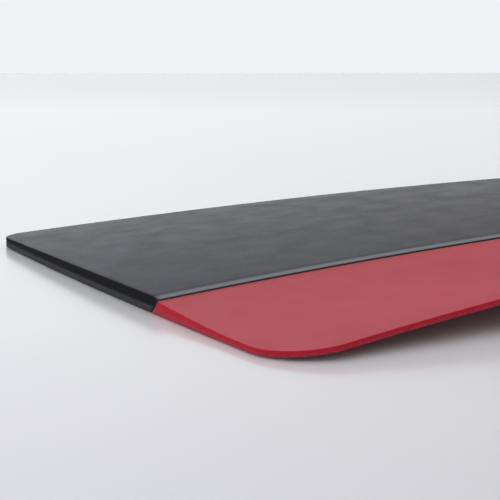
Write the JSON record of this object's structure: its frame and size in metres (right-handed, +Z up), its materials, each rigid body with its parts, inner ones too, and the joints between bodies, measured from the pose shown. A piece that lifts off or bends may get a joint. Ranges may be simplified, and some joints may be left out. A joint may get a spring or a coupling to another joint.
{
  "type": "climbing skin",
  "caption": "Short two-colour climbing skin lying sticky side up: layered plush sheet with a plain tail, and riveted tip plates carrying a cam-buckled strap and wire tip loop.",
  "frame": {"origin": "centre of the footprint, on the floor the skin lies on", "axes": "+X from the plain tail to the wire loop, +Y from the red zone to the black zone, +Z up, away from the plush"},
  "size_m": [0.44, 0.1094, 0.022],
  "materials": {
    "black_plush": "short directional nap",
    "red_plush": "short directional nap",
    "membrane": "thin laminated film",
    "black_adhesive": "smooth satin coating",
    "red_adhesive": "smooth satin coating",
    "patch_fabric": "coated plain weave",
    "thread": "bonded thread",
    "plate_nylon": "fine moulded texture",
    "rivet_aluminium": "satin",
    "pin_steel": "turned",
    "acetal": "moulded",
    "frame_aluminium": "bead blasted, anodised",
    "lever_nylon": "fine moulded texture",
    "soft_pad": "ribbed",
    "strap_webbing": "coated webbing",
    "bail_steel": "polished wire"
  },
  "bodies": {
    "sheet": {"plush_black": "black_plush", "plush_red": "red_plush", "membrane": "membrane", "adhesive_black": "black_adhesive", "adhesive_red": "red_adhesive", "nose_patch": "patch_fabric", "patch_stitching": "thread", "tip_plate_bottom": "plate_nylon", "tip_plate_top": "plate_nylon", "plate_rivets": "rivet_aluminium", "rivet_washers": "rivet_aluminium", "swivel_pin": "pin_steel", "swivel_washer": "acetal"},
    "buckle": {"buckle_frame": "frame_aluminium", "cam_pin": "pin_steel"},
    "lever": {"cam_lever": "lever_nylon", "lever_pad": "soft_pad"},
    "strap": {"strap": "strap_webbing", "strap_stop": "plate_nylon", "strap_bartack": "thread"},
    "bail": {"wire_bail": "bail_steel", "bail_sleeve": "soft_pad"}
  },
  "joints": [
    {"name": "buckle_swivel", "type": "hinge", "parent": "sheet", "child": "buckle", "pos_m": [0.126, 0, 0.0075], "axis": [0, 0, 1], "range_deg": [-20, 20]},
    {"name": "cam_lever_hinge", "type": "hinge", "parent": "buckle", "child": "lever", "pos_m": [0.141, 0, 0.01735], "axis": [0, 1, 0], "range_deg": [0, 95]},
    {"name": "strap_slide", "type": "slide", "parent": "buckle", "child": "strap", "axis": [1, 0, 0], "range_m": [0, 0.025]},
    {"name": "bail_swing", "type": "hinge", "parent": "strap", "child": "bail", "pos_m": [0.172, 0, 0.00845], "axis": [0, 1, 0], "range_deg": [-164, 0]}
  ]
}
